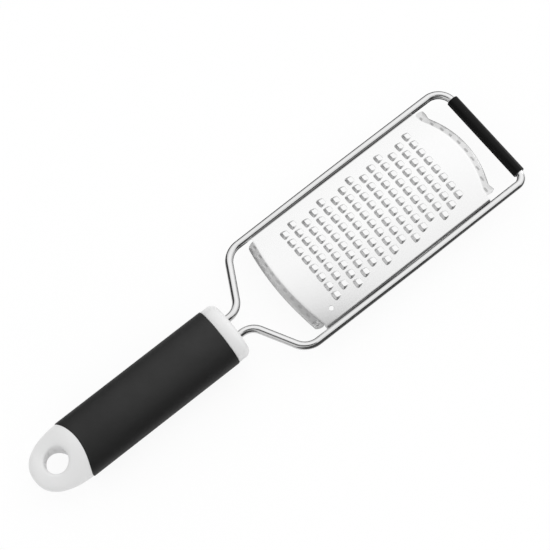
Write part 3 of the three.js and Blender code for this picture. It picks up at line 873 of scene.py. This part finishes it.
def handling():
    """Broad, soft patches from handling and cleaning, from about 0 to 1."""
    tree, entry, leave = new_group("handling", ["Vector", "Scale"], ["Patch"])
    patch = noise(tree, entry.outputs["Vector"], entry.outputs["Scale"], detail=4, roughness=0.6)
    tree.links.new(patch, leave.inputs["Patch"])
    return tree


def new_material(name):
    """A material that uses nodes, and its node tree."""
    material = bpy.data.materials.new(name)
    material.use_nodes = True
    return material, material.node_tree


class Finish:
    """A material with one Principled shader, whose colour, roughness and normal come from shared effects."""

    def __init__(self, name, metallic, specular):
        self.material, self.tree = new_material(name)
        self.shader = self.tree.nodes["Principled BSDF"]
        self.shader.inputs["Metallic"].default_value = metallic
        self.shader.inputs["Specular IOR Level"].default_value = specular

    def stretched(self, vector, stretch):
        """Coordinates scaled for each axis by a Mapping node."""
        mapping = self.tree.nodes.new("ShaderNodeMapping")
        mapping.inputs["Scale"].default_value = stretch
        self.tree.links.new(vector, mapping.inputs["Vector"])
        return mapping.outputs["Vector"]

    def place(self, stretch=(1, 1, 1)):
        """Object coordinates, stretched."""
        return self.stretched(self.tree.nodes.new("ShaderNodeTexCoord").outputs["Object"], stretch)

    def run(self, stretch):
        """The piece's own coordinates along its run and around it, in millimetres, stretched."""
        source = self.tree.nodes.new("ShaderNodeUVMap")
        source.uv_map = "run"
        return self.stretched(source.outputs["UV"], stretch)

    def effect(self, group, vector, scale):
        """One of the shared effects, at a scale of its own."""
        node = self.tree.nodes.new("ShaderNodeGroup")
        node.node_tree = group
        node.inputs["Scale"].default_value = scale
        self.tree.links.new(vector, node.inputs["Vector"])
        return node.outputs[0]

    def patches(self, scale):
        """Patches from handling, in object coordinates."""
        return self.effect(HANDLING, self.place(), scale)

    def mark(self, name):
        """A value stored on the mesh's points."""
        node = self.tree.nodes.new("ShaderNodeAttribute")
        node.attribute_name = name
        return node.outputs["Fac"]

    def span(self, value, low, high, start=0.25, end=0.75):
        """Maps a value from start and end, by default the usual range of a noise, to low and high."""
        return mapped(self.tree, value, start, end, low, high)

    def blend(self, value, first, second):
        """Mixes two colours, each a socket or three numbers, by a value."""
        node = self.tree.nodes.new("ShaderNodeMix")
        node.data_type = "RGBA"
        self.tree.links.new(value, node.inputs["Factor"])
        for socket, colour in ((node.inputs[6], first), (node.inputs[7], second)):
            if isinstance(colour, tuple):
                socket.default_value = (*colour, 1)
            else:
                self.tree.links.new(colour, socket)
        return node.outputs[2]

    def set(self, colour, roughness, height, depth):
        """Links colour, roughness and a bump of a depth in metres to the shader."""
        bump = self.tree.nodes.new("ShaderNodeBump")
        bump.inputs["Distance"].default_value = depth
        self.tree.links.new(height, bump.inputs["Height"])
        self.tree.links.new(bump.outputs["Normal"], self.shader.inputs["Normal"])
        self.tree.links.new(colour, self.shader.inputs["Base Color"])
        self.tree.links.new(roughness, self.shader.inputs["Roughness"])
        return self.material


STREAKS, GRAIN, HANDLING = drawn_streaks(), moulded_grain(), handling()


def grey(level):
    """A grey of a level."""
    return (level, level, level)


def polished_steel():
    """Bright drawn wire: fine streaks along its run, and faint patches."""
    finish = Finish("polished_steel", metallic=1.0, specular=0.5)
    streak = finish.effect(STREAKS, finish.run((0.03, 2.5, 1)), scale=1.0)
    patch = finish.patches(scale=60.0)
    colour = finish.blend(patch, grey(0.59), grey(0.64))
    roughness = finish.span(mean(finish.tree, streak, patch), low=0.06, high=0.12)
    return finish.set(colour, roughness, streak, depth=0.000003)


def satin_steel():
    """Rolled sheet with a satin face and ground cutting edges. The heel's lip and the teeth's slopes are
    duller, and the pressed marks are darker. The tip's lip, its rim and the grooves along the rails are
    darker as painted shade."""
    finish = Finish("satin_steel", metallic=1.0, specular=0.5)
    streak = finish.effect(STREAKS, finish.place((0.06, 1, 1)), scale=2600.0)
    patch = finish.patches(scale=38.0)
    mottle = finish.patches(scale=520.0)
    pressed = finish.mark("pressed_mark")
    heel_lip = finish.mark("heel_lip")
    rim = finish.mark("lip_rim")
    edge = finish.mark("cutting_edge")
    face = finish.blend(patch, grey(0.70), grey(0.73))
    heel = finish.blend(pressed, finish.blend(mottle, grey(0.64), grey(0.74)), grey(0.58))
    # Painted shade: the tip's lip is a darker copy of the face's steel, for how light falls on its bent
    # face.
    tip = finish.blend(pressed, finish.blend(mottle, grey(0.52), grey(0.60)), grey(0.34))
    colour = finish.blend(heel_lip, face, heel)
    colour = finish.blend(finish.mark("tip_lip"), colour, tip)
    # Painted shade: the grooves along the rails are darkened towards grey(0.25).
    colour = finish.blend(finish.mark("groove_shade"), colour, grey(0.25))
    # Painted shade: the tip's rim is darkened to grey(0.10), standing in for the shaded floor that it
    # reflects.
    colour = finish.blend(rim, colour, grey(0.10))
    satin = finish.span(streak, low=0.27, high=0.31)
    ground = finish.span(edge, low=0.0, high=0.08, start=0.8, end=1.0)
    slope = finish.span(edge, low=0.0, high=1.0, start=0.0, end=0.15)
    duller = math_node(finish.tree, "MAXIMUM", heel_lip, slope)
    dull = finish.span(duller, low=0.0, high=0.12, start=0.0, end=1.0)
    rough_rim = finish.span(rim, low=0.0, high=0.35, start=0.0, end=1.0)
    roughness = math_node(finish.tree, "SUBTRACT", satin, ground)
    roughness = math_node(finish.tree, "ADD", roughness, dull)
    roughness = math_node(finish.tree, "ADD", roughness, rough_rim)
    return finish.set(colour, roughness, streak, depth=0.000002)


def white_plastic():
    """Satin moulded plastic: a very fine grain and faint patches."""
    finish = Finish("white_plastic", metallic=0.0, specular=0.45)
    grain = finish.effect(GRAIN, finish.place(), scale=2600.0)
    patch = finish.patches(scale=45.0)
    colour = finish.blend(patch, grey(0.745), grey(0.775))
    return finish.set(colour, finish.span(patch, low=0.34, high=0.46), grain, depth=0.000015)


def grip_rubber():
    """Soft-touch black: a fine pebbled grain, with a slight sheen worn in by the hand."""
    finish = Finish("grip_rubber", metallic=0.0, specular=0.56)
    grain = finish.effect(GRAIN, finish.place(), scale=2100.0)
    patch = finish.patches(scale=50.0)
    colour = finish.blend(grain, grey(0.002), grey(0.006))
    return finish.set(colour, finish.span(patch, low=0.56, high=0.70), grain, depth=0.00005)


def tube_rubber():
    """Smooth black tube, with faint lines along its length from drawing."""
    finish = Finish("tube_rubber", metallic=0.0, specular=0.12)
    streak = finish.effect(STREAKS, finish.place((1, 0.05, 1)), scale=1500.0)
    patch = finish.patches(scale=90.0)
    colour = finish.blend(patch, grey(0.0015), grey(0.0025))
    return finish.set(colour, finish.span(streak, low=0.30, high=0.38), streak, depth=0.00002)


# Studio, in metres: a white floor that rises into a low wall, a white sky that is brightest above the
# sheet and dimmer at the handle's end, a lamp at the tip's end, and dark cards that only reflections see.
FLOOR_RADIUS = 4.0
FLOOR_DISC = 0.5
STAGE_SIDES = 96
FLOOR_LEVEL = 0.95
FLOOR_PLAIN_SHARE = 0.90
FLOOR_MIRRORED_SHARE = 0.5
COVE_RADIUS = 0.8
COVE_STEPS = 16

# The sky's level for the cosine to each of three ways: where a change starts and ends, and its levels
# there.
SKY_BRIGHT_WAY = Vector((0.5, 0.2, 0.84)).normalized()
SKY_BRIGHT = (0.30, 1.0, 0.78, 1.46)
SKY_SIDE_WAY = Vector((-0.94, -0.30, 0.15)).normalized()
SKY_SIDE = (0.80, 0.97, 0.0, 0.18)
SKY_DIM_WAY = Vector((-0.30, -0.20, 0.93)).normalized()
SKY_DIM = (0.78, 0.95, 0.0, 0.26)
LAMP_WAY = Vector((0.99, 0.06, 0.14)).normalized()
LAMP_DISTANCE = 1.3
LAMP_SIZE = 0.36
LAMP_POWER = 1.4

# Cards. The ring's rises go with its ways, in degrees, and a band's part is its first and last turn and
# lean.
CARD_LEVEL = 0.07
CARD_RADIUS = 1.7
CARD_WAYS = np.radians([0, 40, 90, 112, 172, 180, 200, 225, 270, 285, 305, 345, 360])
CARD_RISES = np.radians([0, 3, 9, 10, 9, 2, 0, 28, 58, 52, 12, 3, 0])
TOOTH_CARD = np.array([[-0.211, 0.033], [-0.135, 0.268]])
TOOTH_CARD_HEIGHT = 0.088
MAT_HALF = 1.6
MAT_FROM = 0.048
MAT_SIDE = 0.033
MAT_BEFORE_SHOULDER = 0.006
BAND_SIDE = Vector((0.77, 0.517, 0.374)).normalized()
BAND_RADIUS = 1.2
BAND_PARTS = {"lower_band": (0, 46, -9, 17), "upper_band": (70, 88, -11, 11)}
BAND_TURNS = 16
BAND_LEANS = 5
OPENING_DISTANCE = 1.15
OPENING_RADIUS = 0.27

# Camera at the photograph's angle.
CAMERA_TARGET = Vector((0.0121, 0.00825, 0.0132))
CAMERA_DISTANCE = 0.9286
CAMERA_AZIMUTH = math.radians(-28.64)
CAMERA_ELEVATION = math.radians(71.28)
CAMERA_ROLL = math.radians(-10.4)
CAMERA_LENS = 117.82
CAMERA_SENSOR = 36.0


def stage_piece(name, points, faces, material):
    """A mesh of points in metres that belongs to the studio."""
    mesh = bpy.data.meshes.new(name)
    mesh.from_pydata(points.reshape(-1, 3).tolist(), [], faces)
    mesh.materials.append(material)
    piece = bpy.data.objects.new(name, mesh)
    bpy.context.scene.collection.objects.link(piece)
    return piece


def pale_floor():
    """Diffuse white that keeps the shadow, mostly covered by plain white for camera, glossy and clear
    rays."""
    material, tree = new_material("pale_floor")
    tree.nodes.clear()
    path = tree.nodes.new("ShaderNodeLightPath")
    mirrored = math_node(tree, "MAXIMUM", path.outputs["Is Glossy Ray"], path.outputs["Is Transmission Ray"])
    mirrored = math_node(tree, "MULTIPLY", mirrored, FLOOR_MIRRORED_SHARE)
    seen = math_node(tree, "MAXIMUM", path.outputs["Is Camera Ray"], mirrored)
    matt = tree.nodes.new("ShaderNodeBsdfDiffuse")
    matt.inputs["Color"].default_value = (*grey(FLOOR_LEVEL), 1)
    plain = tree.nodes.new("ShaderNodeEmission")
    plain.inputs["Strength"].default_value = 1.0
    mixed = tree.nodes.new("ShaderNodeMixShader")
    tree.links.new(math_node(tree, "MULTIPLY", seen, FLOOR_PLAIN_SHARE), mixed.inputs["Fac"])
    tree.links.new(matt.outputs[0], mixed.inputs[1])
    tree.links.new(plain.outputs[0], mixed.inputs[2])
    leave = tree.nodes.new("ShaderNodeOutputMaterial")
    tree.links.new(mixed.outputs[0], leave.inputs["Surface"])
    return material


def studio_floor():
    """A disc and a cove round it: a profile of radius and height, with a quarter circle at its end,
    turned about the frame's Z axis."""
    cove = quarter_turn(COVE_STEPS)
    radius = np.concatenate([[FLOOR_DISC], FLOOR_RADIUS + COVE_RADIUS * np.sin(cove)])[:, None]
    height = np.concatenate([[0.0], COVE_RADIUS * (1 - np.cos(cove))])[:, None]
    angle = full_turn(STAGE_SIDES)
    points = np.stack([radius * np.cos(angle), radius * np.sin(angle), height + 0 * angle], -1)
    quads, _, _ = grid_quads(len(radius), STAGE_SIDES, wrap_columns=True)
    disc = [list(range(STAGE_SIDES))]
    floor = stage_piece("floor", points, quads[:, ::-1].tolist() + disc, pale_floor())
    floor.data.shade_smooth()


def dark_card():
    """Matt dark card."""
    material, tree = new_material("dark_card")
    shader = tree.nodes["Principled BSDF"]
    shader.inputs["Base Color"].default_value = (*grey(CARD_LEVEL), 1)
    shader.inputs["Roughness"].default_value = 1.0
    return material


def reflection_card(name, points, faces):
    """A dark card that only reflections see."""
    card = stage_piece(name, points, faces, DARK_CARD)
    card.visible_camera = False
    card.visible_diffuse = False
    card.visible_shadow = False


def card_ring():
    """A ring of cards on the floor, whose top rises and falls with the angle about the tool."""
    angle = full_turn(STAGE_SIDES)
    rise = np.interp(angle, CARD_WAYS, CARD_RISES)
    foot = np.stack([CARD_RADIUS * np.cos(angle), CARD_RADIUS * np.sin(angle), 0 * angle], -1)
    points = np.stack([foot, foot + CARD_RADIUS * np.tan(rise)[:, None] * np.array([0, 0, 1])])
    quads, _, _ = grid_quads(2, STAGE_SIDES, wrap_columns=True)
    reflection_card("cards", points, quads.tolist())


def tooth_card():
    """A low upright card beyond the handle, which darkens the teeth's slopes, more near the heel than
    near the tip."""
    points = np.zeros((4, 3))
    points[:2, :2] = TOOTH_CARD
    points[2:, :2] = TOOTH_CARD[::-1]
    points[2:, 2] = TOOTH_CARD_HEIGHT
    reflection_card("tooth_card", points, [[0, 1, 2, 3]])


def floor_mats():
    """Flat mats on the floor: one along each side of the tool, and one in the gap at each end of the sheet,
    where a dark mat is painted shade for the floor beneath the tool."""
    ends = [SHOULDER_X, HEEL_X, TIP_X + LIP_RUN, CROSSBAR_X]
    shoulder, heel, tip, crossbar = DATUM[0] + MM * np.array(ends)
    spans = {
        "near_mat": (-MAT_HALF, MAT_HALF, -MAT_HALF, -MAT_FROM),
        "far_mat": (-MAT_HALF, MAT_HALF, MAT_FROM, MAT_HALF),
        # Painted shade: the heel's and the tip's mats stand in for the shaded floor under the tool's ends,
        # seen only in reflections.
        "heel_shade_mat": (shoulder - MAT_BEFORE_SHOULDER, heel, -MAT_SIDE, MAT_SIDE),
        "tip_shade_mat": (tip, crossbar, -MAT_SIDE, MAT_SIDE),
    }
    for name, (left, right, low, high) in spans.items():
        points = np.array([[left, low, MM], [right, low, MM], [right, high, MM], [left, high, MM]])
        reflection_card(name, points, [[0, 1, 2, 3]])


def leaning_bands():
    """A band in two parts that leans over the tool: its radius times the cosine of the lean times the
    turn's direction, plus its radius times the sine of the lean along its side."""
    foot = Vector((-BAND_SIDE.y, BAND_SIDE.x, 0)).normalized()
    rise = BAND_SIDE.cross(foot)
    for name, (first, last, low, high) in BAND_PARTS.items():
        turn = np.radians(np.linspace(first, last, BAND_TURNS))[:, None, None]
        lean = np.radians(np.linspace(low, high, BAND_LEANS))[None, :, None]
        way = np.cos(turn) * np.array(foot) + np.sin(turn) * np.array(rise)
        points = BAND_RADIUS * (np.cos(lean) * way + np.sin(lean) * np.array(BAND_SIDE))
        quads, _, _ = grid_quads(*points.shape[:2])
        reflection_card(name, points, quads.tolist())


def sky_light():
    """A white world: brightest above the sheet, a little brighter beside the handle, and dimmer above it."""
    world = bpy.data.worlds.new("studio")
    bpy.context.scene.world = world
    world.use_nodes = True
    sky = world.node_tree
    way = sky.nodes.new("ShaderNodeTexCoord").outputs["Generated"]
    levels = []
    changes = ((SKY_BRIGHT_WAY, SKY_BRIGHT), (SKY_SIDE_WAY, SKY_SIDE), (SKY_DIM_WAY, SKY_DIM))
    for direction, change in changes:
        node = sky.nodes.new("ShaderNodeVectorMath")
        node.operation = "DOT_PRODUCT"
        node.inputs[1].default_value = direction
        sky.links.new(way, node.inputs[0])
        levels.append(mapped(sky, node.outputs["Value"], *change))
    bright, beside, dim = levels
    background = sky.nodes["Background"]
    background.inputs["Color"].default_value = (1, 1, 1, 1)
    level = math_node(sky, "SUBTRACT", math_node(sky, "ADD", bright, beside), dim)
    sky.links.new(level, background.inputs["Strength"])


def tip_lamp():
    """A round soft lamp, low at the tip's end, which faces the tool."""
    disc = bpy.data.lights.new("tip_lamp", "AREA")
    disc.shape = "DISK"
    disc.size = LAMP_SIZE
    disc.energy = LAMP_POWER
    lamp = bpy.data.objects.new("tip_lamp", disc)
    lamp.location = LAMP_WAY * LAMP_DISTANCE
    lamp.rotation_euler = LAMP_WAY.to_track_quat("Z", "Y").to_euler()
    bpy.context.scene.collection.objects.link(lamp)


def camera_axes():
    """The camera's right, up and back: level ones at its azimuth and elevation, turned by its roll."""
    back = Vector((
        math.sin(CAMERA_AZIMUTH) * math.cos(CAMERA_ELEVATION),
        -math.cos(CAMERA_AZIMUTH) * math.cos(CAMERA_ELEVATION),
        math.sin(CAMERA_ELEVATION),
    ))
    level_right = Vector((math.cos(CAMERA_AZIMUTH), math.sin(CAMERA_AZIMUTH), 0))
    level_up = back.cross(level_right)
    right = level_right * math.cos(CAMERA_ROLL) + level_up * math.sin(CAMERA_ROLL)
    up = level_up * math.cos(CAMERA_ROLL) - level_right * math.sin(CAMERA_ROLL)
    return right, up, back


def photo_camera(right, up, back):
    """The camera, at its distance from the target."""
    view = bpy.data.cameras.new("camera")
    view.lens = CAMERA_LENS
    view.sensor_width = CAMERA_SENSOR
    camera = bpy.data.objects.new("camera", view)
    turn = Matrix((right, up, back)).transposed().to_4x4()
    camera.matrix_world = Matrix.Translation(CAMERA_TARGET + back * CAMERA_DISTANCE) @ turn
    bpy.context.scene.collection.objects.link(camera)
    bpy.context.scene.camera = camera


def camera_opening(right, up, back):
    """The dark opening of the tent that the camera looks through: a disc behind it, square to its view."""
    spoke = full_turn(STAGE_SIDES)[:, None]
    middle = np.array(CAMERA_TARGET + back * OPENING_DISTANCE)
    points = middle + OPENING_RADIUS * (np.cos(spoke) * np.array(right) + np.sin(spoke) * np.array(up))
    reflection_card("opening", points, [list(range(STAGE_SIDES))])


FINISHES = {
    "polished_steel": polished_steel(),
    "sleeve_rubber": tube_rubber(),
    "satin_steel": satin_steel(),
    "white_plastic": white_plastic(),
    "grip_rubber": grip_rubber(),
}
wire_piece()
tube_piece()
sheet_piece()
collar_piece()
tail_piece()
grip_piece()

DARK_CARD = dark_card()
studio_floor()
card_ring()
tooth_card()
floor_mats()
leaning_bands()
sky_light()
tip_lamp()
axes = camera_axes()
photo_camera(*axes)
camera_opening(*axes)
bpy.context.scene.view_settings.view_transform = "Standard"
